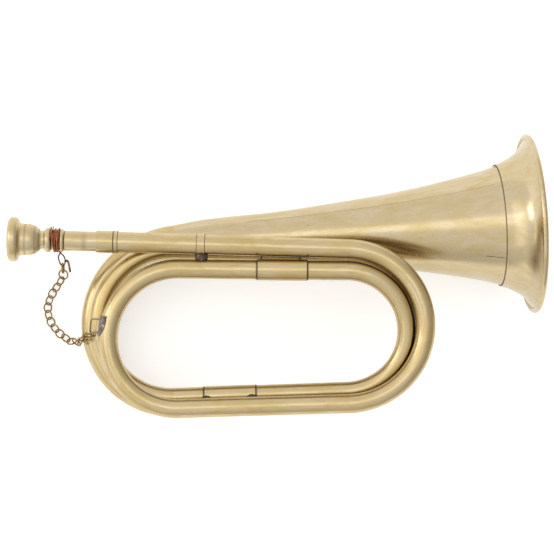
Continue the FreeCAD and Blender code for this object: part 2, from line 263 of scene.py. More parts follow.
def natural_spline(points, steps):
    """Points on a smooth curve through the given ones."""
    p = np.array(points, float)
    t = np.concatenate([[0], np.cumsum(np.linalg.norm(np.diff(p, axis=0), axis=1))])
    n = len(t)
    h = np.diff(t)
    a = np.zeros((n, n))
    b = np.zeros((n, 2))
    a[0, 0] = a[-1, -1] = 1
    for i in range(1, n - 1):
        a[i, i - 1], a[i, i], a[i, i + 1] = h[i - 1], 2 * (h[i - 1] + h[i]), h[i]
        b[i] = 6 * ((p[i + 1] - p[i]) / h[i] - (p[i] - p[i - 1]) / h[i - 1])
    m = np.linalg.solve(a, b)
    out = []
    for u in np.linspace(0, t[-1], steps + 1):
        i = min(int(np.searchsorted(t, u, side="right")) - 1, n - 2)
        x, y = t[i + 1] - u, u - t[i]
        curve = (m[i] * x**3 + m[i + 1] * y**3) / (6 * h[i])
        line = (p[i] / h[i] - m[i] * h[i] / 6) * x + (p[i + 1] / h[i] - m[i + 1] * h[i] / 6) * y
        out.append(tuple(curve + line))
    return out


def arc_through(a, b, c, steps):
    """Points on the circle through three (distance, radius) points, without the first."""
    a, b, c = (np.array(v, float) for v in (a, b, c))
    d = 2 * ((a[0] - c[0]) * (b[1] - c[1]) - (b[0] - c[0]) * (a[1] - c[1]))
    aa, bb, cc = a @ a, b @ b, c @ c
    ux = ((aa - cc) * (b[1] - c[1]) - (bb - cc) * (a[1] - c[1])) / d
    uy = ((bb - cc) * (a[0] - c[0]) - (aa - cc) * (b[0] - c[0])) / d
    centre = np.array([ux, uy])
    first = math.atan2(*(a - centre)[::-1])
    middle = math.atan2(*(b - centre)[::-1])
    last = math.atan2(*(c - centre)[::-1])
    turn_way = 1 if ((middle - first) % (2 * math.pi)) < ((last - first) % (2 * math.pi)) else -1
    sweep = (last - first) % (2 * math.pi) if turn_way > 0 else -((first - last) % (2 * math.pi))
    radius = np.linalg.norm(a - centre)
    out = []
    for i in range(1, steps + 1):
        angle = first + sweep * i / steps
        out.append((centre[0] + radius * math.cos(angle), centre[1] + radius * math.sin(angle)))
    return out


def outline(start, *steps, fine=8):
    """A profile of (distance, radius) points: a pair is a straight line, two pairs are an arc."""
    points = [start]
    for step in steps:
        if isinstance(step[0], tuple):
            points += arc_through(points[-1], step[0], step[1], fine)
        else:
            points.append(step)
    return points


def softened(points, radius, steps=3):
    """The profile with its corners rounded."""
    out = []
    count = len(points)
    for i in range(count):
        p, q, r = (np.array(points[(i + k) % count], float) for k in (-1, 0, 1))
        u, v = p - q, r - q
        lu, lv = np.linalg.norm(u), np.linalg.norm(v)
        if lu < 1e-6 or lv < 1e-6:
            continue
        if np.dot(u, v) / (lu * lv) < -0.93:
            out.append(tuple(q))
            continue
        a = q + u / lu * min(radius, lu * 0.45)
        b = q + v / lv * min(radius, lv * 0.45)
        for s in np.linspace(0, 1, steps + 1):
            out.append(tuple((1 - s) ** 2 * a + 2 * s * (1 - s) * q + s**2 * b))
    return out


def divided(points, longest):
    """The closed profile with long spans split, so that the mesh has evenly sized faces."""
    out = []
    for p, q in zip(points, points[1:] + points[:1]):
        p, q = np.array(p), np.array(q)
        parts = max(1, int(math.ceil(np.linalg.norm(q - p) / longest)))
        out += [tuple(p + (q - p) * k / parts) for k in range(parts)]
    return out


def turned(name, profile, origin, along, around, stain=None, shape=None):
    """A closed profile of (distance, radius) points turned round an axis."""
    side, up = ring_basis(along)
    angles = np.linspace(0, 2 * math.pi, around, endpoint=False)
    rows, grains, stains = [], [], []
    for distance, radius in profile:
        row, grain, marks = [], [], []
        for a in angles:
            r = radius + (shape(distance, a) if shape else 0.0)
            row.append(origin + along * distance + side * (r * math.cos(a)) + up * (r * math.sin(a)))
            grain.append((distance, radius * math.cos(a), radius * math.sin(a)))
            marks.append(stain(distance, radius, a) if stain else 0.0)
        rows.append(row)
        grains.append(grain)
        stains.append(marks)
    return skin_mesh(name, rows, grains, stains)


def smooth_route(points, steps):
    """Points on a smooth line through the given ones."""
    p = [np.array(q, float) for q in points]
    p = [2 * p[0] - p[1]] + p + [2 * p[-1] - p[-2]]
    out = []
    for a, b, c, d in zip(p, p[1:], p[2:], p[3:]):
        for t in np.linspace(0, 1, steps, endpoint=False):
            square, cube = t * t, t * t * t
            out.append(0.5 * (2 * b + (c - a) * t + (2 * a - 5 * b + 4 * c - d) * square
                              + (3 * b - a - 3 * c + d) * cube))
    return [Vector(q) for q in out] + [Vector(points[-1])]


def wire_mesh(name, runs, around=12):
    """Round wires with rounded ends: each run is a list of points and the wire's radius."""
    verts, faces = [], []
    for points, radius in runs:
        points = [Vector(p) for p in points]
        first = (points[1] - points[0]).normalized()
        last = (points[-1] - points[-2]).normalized()
        stations = [(points[0] - first * radius * 0.5, 0.45), (points[0] - first * radius * 0.3, 0.8)]
        stations += [(p, 1.0) for p in points]
        stations += [(points[-1] + last * radius * 0.3, 0.8), (points[-1] + last * radius * 0.5, 0.45)]
        side = first.orthogonal().normalized()
        base = len(verts)
        for index, (point, share) in enumerate(stations):
            before = stations[max(index - 1, 0)][0]
            after = stations[min(index + 1, len(stations) - 1)][0]
            along = (after - before).normalized()
            side = (side - along * side.dot(along)).normalized()
            up = along.cross(side)
            for k in range(around):
                a = 2 * math.pi * k / around
                verts.append(point + (side * math.cos(a) + up * math.sin(a)) * radius * share)
        for row in range(len(stations) - 1):
            here = base + row * around
            for k in range(around):
                j = (k + 1) % around
                faces.append((here + k, here + j, here + around + j, here + around + k))
        end = base + (len(stations) - 1) * around
        faces.append(tuple(base + k for k in reversed(range(around))))
        faces.append(tuple(end + k for k in range(around)))
    mesh = bpy.data.meshes.new(name)
    mesh.from_pydata([tuple(v) for v in verts], [], faces)
    mesh.transform(LAY)
    mesh.polygons.foreach_set("use_smooth", [True] * len(mesh.polygons))
    mesh.update()
    return mesh


# ---- materials ----
def node(tree, kind, links=None, **values):
    one = tree.nodes.new(kind)
    for key, value in values.items():
        if key.startswith("in_"):
            one.inputs[key[3:].replace("_", " ")].default_value = value
        else:
            setattr(one, key, value)
    for socket, source in (links or {}).items():
        tree.links.new(source, one.inputs[socket])
    return one


def mix_colour(tree, factor, a, b, blend="MIX"):
    one = tree.nodes.new("ShaderNodeMix")
    one.data_type = "RGBA"
    one.blend_type = blend
    for socket, value in ((0, factor), (6, a), (7, b)):
        if isinstance(value, bpy.types.NodeSocket):
            tree.links.new(value, one.inputs[socket])
        else:
            one.inputs[socket].default_value = value
    return one.outputs[2]


def ramp(tree, source, stops, interpolation="LINEAR"):
    one = tree.nodes.new("ShaderNodeValToRGB")
    one.color_ramp.interpolation = interpolation
    while len(one.color_ramp.elements) < len(stops):
        one.color_ramp.elements.new(0.5)
    for element, (at, colour) in zip(one.color_ramp.elements, stops):
        element.position = at
        element.color = colour if len(colour) == 4 else (*colour, 1)
    tree.links.new(source, one.inputs[0])
    return one.outputs[0]


def grey(value):
    return (value, value, value, 1)


def math_node(tree, operation, a, b=None, clamp=False):
    one = tree.nodes.new("ShaderNodeMath")
    one.operation = operation
    one.use_clamp = clamp
    for socket, value in ((0, a), (1, b)):
        if value is None:
            continue
        if isinstance(value, bpy.types.NodeSocket):
            tree.links.new(value, one.inputs[socket])
        else:
            one.inputs[socket].default_value = value
    return one.outputs[0]


def noise(tree, vector, scale, detail=4.0, rough=0.55, distortion=0.0):
    one = node(tree, "ShaderNodeTexNoise", {"Vector": vector})
    one.inputs["Scale"].default_value = scale
    one.inputs["Detail"].default_value = detail
    one.inputs["Roughness"].default_value = rough
    one.inputs["Distortion"].default_value = distortion
    return one.outputs["Fac"]


def stretched(tree, vector, scale, shift=(0, 0, 0)):
    one = node(tree, "ShaderNodeMapping", {"Vector": vector})
    one.inputs["Scale"].default_value = scale
    one.inputs["Location"].default_value = shift
    return one.outputs["Vector"]


def dark_line_mark(tree, grain, degrees, start, end, half_width, strength):
    """How dark a point is from a thin dark line along a tube, which has one angle round it, a start and an
    end.
    """
    a = math.radians(degrees)
    off = node(tree, "ShaderNodeVectorMath", {0: grain}, operation="DOT_PRODUCT")
    off.inputs[1].default_value = (0, -math.sin(a), math.cos(a))
    near_side = node(tree, "ShaderNodeVectorMath", {0: grain}, operation="DOT_PRODUCT")
    near_side.inputs[1].default_value = (0, math.cos(a), math.sin(a))
    distance = node(tree, "ShaderNodeSeparateXYZ", {0: grain}).outputs["X"]
    mark = math_node(tree, "LESS_THAN", math_node(tree, "ABSOLUTE", off.outputs["Value"], 0.0), half_width)
    mark = math_node(tree, "MULTIPLY", mark, math_node(tree, "GREATER_THAN", near_side.outputs["Value"], 0.0))
    mark = math_node(tree, "MULTIPLY", mark, math_node(tree, "GREATER_THAN", distance, start))
    mark = math_node(tree, "MULTIPLY", mark, math_node(tree, "LESS_THAN", distance, end))
    return math_node(tree, "MULTIPLY", mark, strength)


def pit_mark(tree, grain, distance, degrees, radius, size, strength):
    """How dark a point is from a small round pit on a tube's wall."""
    a = math.radians(degrees)
    away = node(tree, "ShaderNodeVectorMath", {0: grain}, operation="DISTANCE")
    away.inputs[1].default_value = (distance, radius * math.cos(a), radius * math.sin(a))
    return math_node(tree, "MULTIPLY", math_node(tree, "LESS_THAN", away.outputs["Value"], size), strength)


def brass(name, pale, gold, dark, roughness, streaks, shift, dark_lines=(), pits=()):
    """Hand-polished brass with tarnish in patches, streaks along the grain, spots and fine scratches, and
    painted shade over some tarnish in the crevices between tubes.
    Its grain coordinates are millimetres along and round each tube."""
    material = bpy.data.materials.new(name)
    material.use_nodes = True
    tree = material.node_tree
    shader = tree.nodes["Principled BSDF"]
    grain = node(tree, "ShaderNodeAttribute", attribute_name="grain").outputs["Vector"]
    stain = node(tree, "ShaderNodeAttribute", attribute_name="stain").outputs["Fac"]
    along = stretched(tree, grain, (0.02, 1.0, 1.0), shift)
    patches = noise(tree, stretched(tree, grain, (0.05, 0.16, 0.16), shift), 1.0, 3.0, 0.6, 0.6)
    lines = noise(tree, along, 2.6, 5.0, 0.65)
    fine_lines = noise(tree, stretched(tree, grain, (0.06, 4.0, 4.0), shift), 1.6, 3.0, 0.7)
    colour = mix_colour(tree, ramp(tree, patches, [(0.38, grey(0)), (0.68, grey(1))]), pale, gold)
    warm = ramp(tree, lines, [(0.44, grey(0)), (0.74, grey(streaks))])
    colour = mix_colour(tree, warm, colour, gold)
    deep = ramp(tree, fine_lines, [(0.56, grey(0)), (0.70, grey(0.50))])
    colour = mix_colour(tree, deep, colour, dark)
    spots = noise(tree, stretched(tree, grain, (0.5, 0.6, 0.6), shift), 1.3, 2.0, 0.5, 0.4)
    spotted = ramp(tree, spots, [(0.735, grey(0)), (0.775, grey(0.75))])
    colour = mix_colour(tree, spotted, colour, dark)
    # Painted shade over some real tarnish: within 2.8 mm of another tube the colour goes dark brown, in the
    # crevices between the tubes.
    near = node(tree, "ShaderNodeAmbientOcclusion", samples=8, in_Distance=2.8 * MM)
    crevice_tarnish_and_shade = ramp(tree, near.outputs["AO"], [(0.22, grey(1)), (0.66, grey(0))])
    colour = mix_colour(tree, crevice_tarnish_and_shade, colour, (dark[0] * 0.35, dark[1] * 0.3, dark[2] * 0.25, 1))
    for dark_line in dark_lines:
        stain = math_node(tree, "MAXIMUM", stain, dark_line_mark(tree, grain, *dark_line))
    for pit in pits:
        stain = math_node(tree, "MAXIMUM", stain, pit_mark(tree, grain, *pit))
    soot = math_node(tree, "MULTIPLY", stain, ramp(tree, lines, [(0.25, grey(0.75)), (0.6, grey(1))]))
    colour = mix_colour(tree, soot, colour, (0.05, 0.021, 0.007, 1))
    tree.links.new(colour, shader.inputs["Base Color"])
    shader.inputs["Metallic"].default_value = 1.0
    worn = math_node(tree, "MULTIPLY", ramp(tree, lines, [(0.3, grey(0)), (0.75, grey(1))]), 0.10)
    dull = math_node(tree, "MULTIPLY", ramp(tree, patches, [(0.35, grey(0)), (0.7, grey(1))]), 0.08)
    total = math_node(tree, "ADD", math_node(tree, "ADD", worn, dull), roughness)
    total = math_node(tree, "ADD", total, math_node(tree, "MULTIPLY", soot, 0.35), clamp=True)
    tree.links.new(total, shader.inputs["Roughness"])
    height = math_node(tree, "ADD", math_node(tree, "MULTIPLY", fine_lines, 0.25), lines)
    bump = node(tree, "ShaderNodeBump", {"Height": height}, in_Strength=0.16, in_Distance=0.05 * MM)
    tree.links.new(bump.outputs["Normal"], shader.inputs["Normal"])
    return material


tube_brass = brass(
    "tube_brass_worn",
    (0.57, 0.455, 0.268, 1),
    (0.51, 0.38, 0.162, 1),
    (0.20, 0.12, 0.05, 1),
    0.2,
    0.7,
    (3, 1, 7),
)
# Thin dark lines along the bell: angle round the bell, where each starts and ends along the axis, half width
# and strength
BELL_DARK_LINES = [
    (134, 40.0, 168.0, 0.13, 0.5),
    (56, 161.5, 170.5, 0.22, 0.8),
    (148, 112.0, 168.5, 0.10, 0.3),
]
# Distance along the axis, angle, radius, size and strength
BELL_PITS = [(171.0, 168, 31.7, 0.85, 1.0), (94.0, 106, 13.9, 0.45, 0.8), (55.7, 106, 10.7, 0.4, 0.7)]
bell_brass = brass(
    "bell_brass_worn",
    (0.575, 0.475, 0.31, 1),
    (0.52, 0.405, 0.205, 1),
    (0.20, 0.13, 0.06, 1),
    0.15,
    0.5,
    (11, 5, 2),
    dark_lines=BELL_DARK_LINES,
    pits=BELL_PITS,
)
mouth_brass = brass(
    "mouthpiece_brass_worn",
    (0.60, 0.49, 0.315, 1),
    (0.54, 0.42, 0.215, 1),
    (0.20, 0.12, 0.06, 1),
    0.24,
    0.6,
    (1, 9, 4),
)


def patina(name, base, worn, dark, roughness, scale, metallic=1.0, bump_size=0.05, hollow_shade_strength=0.9):
    """Dull, tarnished metal, rubbed bright in patches, with painted shade where parts nearly touch. Its
    coordinates are millimetres in the row frame at rest, so that no two rings of the chain look the same."""
    material = bpy.data.materials.new(name)
    material.use_nodes = True
    tree = material.node_tree
    shader = tree.nodes["Principled BSDF"]
    place = node(tree, "ShaderNodeTexCoord").outputs["Object"]
    place = stretched(tree, place, (1 / MM, 1 / MM, 1 / MM))
    patches = noise(tree, place, scale, 4.0, 0.6, 0.3)
    grit = noise(tree, place, scale * 6, 4.0, 0.7)
    colour = mix_colour(tree, ramp(tree, patches, [(0.42, grey(0)), (0.66, grey(1))]), base, worn)
    colour = mix_colour(tree, ramp(tree, grit, [(0.52, grey(0)), (0.72, grey(0.7))]), colour, dark)
    # Painted shade: within 0.7 mm of another surface, where wire turns and chain rings touch, the colour goes
    # dark.
    near = node(tree, "ShaderNodeAmbientOcclusion", samples=8, in_Distance=0.7 * MM)
    painted_hollow_shade = ramp(tree, near.outputs["AO"], [(0.25, grey(hollow_shade_strength)), (0.75, grey(0))])
    colour = mix_colour(tree, painted_hollow_shade, colour, (dark[0] * 0.4, dark[1] * 0.4, dark[2] * 0.4, 1))
    tree.links.new(colour, shader.inputs["Base Color"])
    shader.inputs["Metallic"].default_value = metallic
    rough = math_node(tree, "MULTIPLY", ramp(tree, grit, [(0.3, grey(0)), (0.7, grey(1))]), 0.2)
    tree.links.new(math_node(tree, "ADD", rough, roughness), shader.inputs["Roughness"])
    height = math_node(tree, "ADD", patches, math_node(tree, "MULTIPLY", grit, 0.4))
    bump = node(tree, "ShaderNodeBump", {"Height": height}, in_Strength=0.35, in_Distance=bump_size * MM)
    tree.links.new(bump.outputs["Normal"], shader.inputs["Normal"])
    return material


chain_brass = patina(
    "chain_brass_antique", (0.26, 0.165, 0.055, 1), (0.50, 0.34, 0.125, 1), (0.04, 0.022, 0.007, 1), 0.34, 0.8
)
copper = patina(
    "copper_wire_oxidised", (0.36, 0.115, 0.055, 1), (0.52, 0.25, 0.12, 1), (0.10, 0.022, 0.012, 1), 0.36, 0.9
)
copper_dark = patina(
    "copper_wire_blackened", (0.075, 0.045, 0.028, 1), (0.17, 0.10, 0.06, 1), (0.03, 0.016, 0.010, 1),
    0.42, 0.9,
)
bracket_brass = patina(
    "bracket_brass_dull", (0.125, 0.095, 0.09, 1), (0.42, 0.36, 0.32, 1), (0.035, 0.022, 0.022, 1),
    0.38, 0.5, bump_size=0.12,
)
bracket_wire = patina(
    "bracket_wire_dull", (0.21, 0.16, 0.085, 1), (0.40, 0.32, 0.18, 1), (0.06, 0.04, 0.022, 1), 0.36, 0.6
)
solder_grey = patina(
    "solder_dull", (0.085, 0.055, 0.035, 1), (0.20, 0.145, 0.095, 1), (0.03, 0.018, 0.012, 1), 0.45, 0.45,
    metallic=0.7, bump_size=0.2,
)


# ---- bows and runs ----
for name in names[:5]:
    path = bows[name]
    count = len(path)
    mesh = hollow_tube(
        "fine_" + name, path, [TUBE_RADIUS] * count, [TUBE_RADIUS - TUBE_WALL] * count, 56,
        offset=40.0 * names.index(name),
    )
    finish_piece("fine_" + name, mesh, tube_brass, name, "horn")

path = bow_path("bow_left_back", 20)
share = [(i / (len(path) - 1)) ** 2.5 for i in range(len(path))]
outer = [TUBE_RADIUS + (THROAT_OUTER - TUBE_RADIUS) * s for s in share]
inner = [TUBE_RADIUS - TUBE_WALL + (THROAT_OUTER - BELL_WALL - TUBE_RADIUS + TUBE_WALL) * s for s in share]
mesh = hollow_tube("fine_bow_left_back", path, outer, inner, 72, offset=240.0)
finish_piece("fine_bow_left_back", mesh, tube_brass, "bow_left_back", "horn")


def run_ends(index):
    return bows[names[index]][-1][0], bows[names[index + 1]][0][0]


def edge_soot(width, strength):
    """Dark soldered joint lines at both ends of a turned ring."""

    def mark(distance, total):
        near = min(distance, total - distance)
        return strength if near < width else 0.0

    return mark


def joint_line(length, joints):
    """How dark a tube is at a length, from its soldered joints: each is a length and a half width."""
    return max([0.9 * max(0.0, 1 - (abs(length - at) / width) ** 3) for at, width in joints])


RUN_STEPS = 130  # sections along half a run, close enough for its joint lines

for index, run in enumerate(RUNS):
    start, end = run_ends(index)
    if run not in FERRULES:
        path = straight(start, end, 30)
        mesh = hollow_tube(
            "fine_" + run, path, [TUBE_RADIUS] * 31, [TUBE_RADIUS - TUBE_WALL] * 31, 56,
            offset=20 + 40 * index,
        )
        finish_piece("fine_" + run, mesh, tube_brass, run, "horn")
        continue
    ferrule, first, last, wall = FERRULES[run]
    along = end - start

    def on_run(x):
        return start + along * ((x - start.x) / along.x)

    middle = on_run((first + last) / 2)
    left, right = (start, end) if start.x < end.x else (end, start)
    for side, a, b in (("_left", left, middle), ("_right", middle, right)):
        path = straight(a, b, RUN_STEPS)
        count = len(path)
        joints = [((on_run(x) - a).length, 0.7) for x in (first, last)]
        mesh = hollow_tube(
            "fine_" + run + side, path, [TUBE_RADIUS] * count, [TUBE_RADIUS - TUBE_WALL] * count, 56,
            stain=lambda length, total: joint_line(length, joints), offset=20 + 40 * index,
        )
        finish_piece("fine_" + run + side, mesh, tube_brass, run + side, "horn")
    a, b = on_run(first), on_run(last)
    length = (b - a).length
    outside = TUBE_RADIUS + wall
    ring = [(0, TUBE_RADIUS), (length, TUBE_RADIUS), (length, outside), (0, outside)]
    ring = divided(softened(ring, 0.12), 0.45)
    joint = edge_soot(0.5, 1.0)
    mesh = turned(
        "fine_" + ferrule, ring, a, (b - a).normalized(), 72,
        stain=lambda d, r, angle: joint(d, length),
    )
    finish_piece("fine_" + ferrule, mesh, tube_brass, ferrule, "horn")

# ---- leadpipe, receiver and bands ----
lead_end = (bows["bow_right_front"][0][0] - RIM_FACE).length


def lead_radius(distance):
    share = (distance - RING_START) / (lead_end - RING_START)
    return LEADPIPE_RADIUS + (TUBE_RADIUS - LEADPIPE_RADIUS) * share


path = straight(along_lead(RING_START), along_lead(lead_end), 60)
outer = [lead_radius(RING_START + (lead_end - RING_START) * i / 60) for i in range(61)]
mesh = hollow_tube("fine_leadpipe", path, outer, [r - 0.4 for r in outer], 56)
finish_piece("fine_leadpipe", mesh, tube_brass, "leadpipe", "horn")


def shank_radius(distance):
    return SHANK_RADIUS - SHANK_TAPER * max(0, distance - RECEIVER_START)


receiver = [
    (RECEIVER_START, RECEIVER_RADIUS - 0.1),
    (RECEIVER_START + 1.1, RECEIVER_RADIUS),
    (RECEIVER_START + 1.25, RECEIVER_RADIUS - 0.12),
    (RECEIVER_START + 1.4, RECEIVER_RADIUS),
    (RING_START, RECEIVER_RADIUS),
    (RING_START, shank_radius(RING_START) + 0.06),
    (RECEIVER_START, shank_radius(RECEIVER_START) + 0.06),
]
mesh = turned(
    "fine_receiver_sleeve", divided(softened(receiver, 0.1), 0.4), RIM_FACE, lead_along, 72,
    stain=lambda d, r, a: 0.9 if RING_START - d < 0.3 else 0.0,
)
finish_piece("fine_receiver_sleeve", mesh, tube_brass, "receiver_sleeve", "horn")


def band_piece(node_name, start, length, outside):
    ring = [(start, lead_radius(start)), (start + length, lead_radius(start + length))]
    ring += [(start + length, outside), (start, outside)]
    joint = edge_soot(0.4, 0.97)
    mesh = turned(
        "fine_" + node_name, divided(softened(ring, 0.12), 0.3), RIM_FACE, lead_along, 72,
        stain=lambda d, r, a: joint(d - start, length),
    )
    finish_piece("fine_" + node_name, mesh, tube_brass, node_name, "horn")


band_piece("receiver_ring", RING_START, RING_LENGTH, RECEIVER_RADIUS + 0.05)
band_piece("leadpipe_band", BAND_START, BAND_LENGTH, LEADPIPE_RADIUS + 0.3)

# ---- mouthpiece ----
shank_end = RECEIVER_START + SHANK_DEPTH
mouthpiece = outline(
    (1.6, 8.1),
    ((0.35, 8.8), (0.0, 9.7)),
    ((0.8, 11.05), (2.75, 11.6)),
    ((4.6, 11.1), (5.5, 9.8)),
    ((6.0, 8.7), (7.3, 8.25)),
    (9.2, 8.15),
    ((13.3, 7.5), (16.0, 5.7)),
    ((16.6, 4.95), (17.6, NECK_RADIUS)),
    (18.5, NECK_RADIUS),
    ((20.5, 6.3), (22.5, NECK_RADIUS)),
    (26.6, NECK_RADIUS),
    ((27.6, 5.9), (28.8, SHANK_RADIUS)),
    (28.9, SHANK_RADIUS - 0.2),
    (29.2, SHANK_RADIUS - 0.2),
    (29.3, SHANK_RADIUS),
    (RECEIVER_START, SHANK_RADIUS),
    (shank_end - 0.4, shank_radius(shank_end)),
    (shank_end, shank_radius(shank_end) - 0.3),
    (shank_end, 3.7),
    (20.0, 1.9),
    (14.5, 1.9),
    ((11.2, 5.0), (5.5, 7.3)),
    (1.7, 8.05),
)


TURNED_LINES = [(9.0, 0.28), (13.9, 0.22), (16.0, 0.35)]  # distance from the rim, and how dark


def mouth_stain(distance, radius, angle):
    groove = 0.75 if 28.85 < distance < 29.25 and radius > 4 else 0.0
    for at, depth in TURNED_LINES:
        if abs(distance - at) < 0.3 and radius > 4:
            groove = max(groove, depth)
    blotch = 0.3 * max(0.0, 1 - abs(distance - 39.3) / 2.2) * max(0.0, math.cos(angle - math.radians(70)))
    return max(groove, blotch, 0.5 if radius < 2.5 else 0.0)


mesh = turned(
    "fine_mouthpiece", divided(softened(mouthpiece, 0.08), 0.5), RIM_FACE, lead_along, 96, stain=mouth_stain
)
finish_piece("fine_mouthpiece", mesh, mouth_brass, "mouthpiece", "mouthpiece")

# ---- bell, garland and rim bead ----
outside = natural_spline(BELL_OUTLINE, 150)
inside = [(d, r - BELL_WALL) for d, r in outside]


def bell_stain(distance, radius, angle):
    return 0.9 if distance > 171.25 else 0.0


mesh = turned("fine_bell", outside + inside[::-1], throat, bell_along, 160, stain=bell_stain)
finish_piece("fine_bell", mesh, bell_brass, "bell", "horn")

outside = natural_spline(GARLAND_OUTLINE, 40)
inside = [(d, r - BELL_WALL) for d, r in outside]
lip = softened(outside + inside[::-1], 0.1, 2)


def garland_stain(distance, radius, angle):
    along_streak = max(0.0, 1 - abs(distance - 185.0) / 4.0)
    round_streak = max(0.0, 1 - abs(math.degrees(angle) - 60) / 18)
    streak = 0.7 * along_streak * round_streak
    return 1.0 if distance < 172.1 else streak


mesh = turned("fine_bell_garland", lip, throat, bell_along, 192, stain=garland_stain)
finish_piece("fine_bell_garland", mesh, bell_brass, "bell_garland", "horn")

bead = [
    (BEAD_AT[0] + BEAD_RADIUS * math.cos(a), BEAD_AT[1] + BEAD_RADIUS * math.sin(a))
    for a in np.linspace(0, 2 * math.pi, 28, endpoint=False)
]
mesh = turned("fine_bell_rim_bead", bead, throat, bell_along, 192)
finish_piece("fine_bell_rim_bead", mesh, bell_brass, "bell_rim_bead", "horn")

# ---- chain: bent wire rings with a butted joint ----
def ring_place(node_name):
    """Centre and two directions across a ring, from its CAD solid."""
    low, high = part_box(node_name)
    centre = BACK @ ((Vector(low) + Vector(high)) / 2)
    solid = frame["nodes"][node_name].data
    points = np.array([BACK @ v.co for v in solid.vertices]) - np.array(centre)
    axes_of_ring = np.linalg.svd(points, full_matrices=False)[2]
    return centre, Vector(axes_of_ring[0]), Vector(axes_of_ring[1])


for index in range(CHAIN_RINGS):
    node_name = "chain_ring_%02d" % (index + 1)
    centre_point, across, along = ring_place(node_name)
    butt = random.uniform(0, 2 * math.pi)
    gap = 0.045
    turns = 2 if index == 0 else 1  # the first ring is wound twice
    side = across.cross(along) * (0.9 * RING_WIRE * (turns - 1))
    route = []
    for a in np.linspace(gap, 2 * math.pi * turns - gap, 48 * turns + 1):
        spoke = across * math.cos(a + butt) + along * math.sin(a + butt)
        route.append(centre_point + spoke * RING_RADIUS + side * (a / (math.pi * turns) - 1))
    mesh = wire_mesh("fine_" + node_name, [(route, RING_WIRE)], 14)
    body_name = "chain_%02d" % (index // RINGS_PER_BODY + 1)
    finish_piece("fine_" + node_name, mesh, chain_brass, node_name, body_name)


# ---- keeper wire: turns round the neck, tail, eye and the wire's two ends ----
def over_ground(x, y, height):
    ground = (LAY @ Vector((x, y, 0))).z
    return Vector((x, y, (height * MM - ground) / (Z_AXIS.z * MM)))


def on_neck(distance, degrees, height):
    """A point of the wire round the mouthpiece neck; at 0 degrees it is on the chain's side."""
    bead = max(0.0, 22.5 - distance)
    radius = NECK_RADIUS + 1.05 * bead + height
    side, up = ring_basis(lead_along)
    a = math.radians(degrees)
    return along_lead(distance) + (side * math.cos(a) + up * math.sin(a)) * radius


def on_wrap(share, degrees, height):
    """A point of the wrap, by its share from one edge (-1) to the other (1): wide at the top of the
    neck and drawn together on the chain's side."""
    narrow = 0.5 + 0.5 * math.cos(math.radians(degrees))
    return on_neck(24.2 + 0.6 * narrow + (2.35 - 1.35 * narrow) * share, degrees, height)


inner_turns = [on_wrap(t / 84 - 1, 15 * t + 150, KEEPER_WIRE + 0.03) for t in range(169)]
outer_turns = [
    on_wrap(
        math.cos(math.radians(15 * t * 0.41)), 15 * t + 150,
        3 * KEEPER_WIRE - 0.1 + 0.12 * math.sin(1.9 * t),
    )
    for t in range(6, 80)
]
cross_turns = [
    on_wrap(
        0.95 * math.cos(math.radians(-15 * t * 0.29 + 50)), 15 * t + 80,
        4.4 * KEEPER_WIRE + 0.22 * math.sin(1.3 * t),
    )
    for t in range(0, 74)
]
spike = smooth_route([on_neck(23.3, 150, 0.9), on_neck(23.2, 172, 1.3), on_neck(23.0, 183, 2.5)], 5)
eye_foot = over_ground(*EYE_BOTTOM)
eye_head = over_ground(*EYE_TOP) + (over_ground(*EYE_TOP) - eye_foot) * 0.34
eye_along = (eye_head - eye_foot).normalized()
eye_across = (lead_along - eye_along * lead_along.dot(eye_along)).normalized()
eye_length = (eye_head - eye_foot).length


def on_eye(share, across):
    """A point of the eye, by its share of the way from foot to head and its offset across."""
    return eye_foot + eye_along * (eye_length * share) + eye_across * across


tail = smooth_route(
    [on_neck(24.6, 55, 0.95), on_neck(25.0, 20, 0.8), on_neck(25.2, 2, 0.9), on_eye(1.12, -0.5),
     on_eye(0.98, 0.05)], 6
)
eye_wire = smooth_route(
    [on_eye(1.05, 0.35), on_eye(0.93, -0.35), on_eye(0.72, -1.35), on_eye(0.42, -1.5), on_eye(0.12, -1.05),
     on_eye(0.0, 0.0), on_eye(0.12, 1.05), on_eye(0.42, 1.75), on_eye(0.72, 1.5), on_eye(0.93, 0.4),
     on_eye(1.06, -0.3)], 8
)
wire_end = smooth_route(
    [on_eye(0.30, 1.6), on_eye(0.40, 2.5), on_eye(0.28, 3.2), on_eye(-0.05, 3.3), on_eye(-0.45, 3.25)], 5
)
mesh = wire_mesh(
    "fine_keeper_wire",
    [(inner_turns, KEEPER_WIRE), (outer_turns, KEEPER_WIRE), (cross_turns, 0.3), (spike, 0.26),
     (wire_end, 0.55), (tail, 0.4), (eye_wire, 0.36)],
)
mesh.materials.append(copper)
mesh.materials.append(copper_dark)
for face in mesh.polygons:
    place = BACK @ face.center
    off_wrap = (place - along_lead(24.2)).length > 6.6
    is_end = (place - on_eye(0.1, 3.0)).length < 3.2 and (place - on_eye(0.1, 0)).dot(eye_across) > 2.1
    face.material_index = 1 if off_wrap and not is_end and place.y < 16 else 0
finish_piece("fine_keeper_wire", mesh, copper, "keeper_wire", "keeper")

# ---- bracket: a plate on the flank of the front left bow, and its wire loop ----
BOW_X, BOW_Y, BOW_RADIUS = BOWS[1][2:5]
# The plate's free edge: angle round the bow's centre, and angle up the tube from its flank, in degrees
PLATE_EDGE = [
    (163.4, 50), (164.0, 63), (165.5, 69), (168.5, 69), (172.0, 65), (174.6, 56), (176.6, 42), (177.9, 20)
]
PLATE_FOOT = -34.0
PLATE_ROWS = 40
PLATE_COLUMNS = 26


def on_bow(degrees, up_degrees, radius):
    a, v = math.radians(degrees), math.radians(up_degrees)
    reach = BOW_RADIUS + radius * math.cos(v)
    return Vector((BOW_X + reach * math.cos(a), BOW_Y + reach * math.sin(a), radius * math.sin(v)))


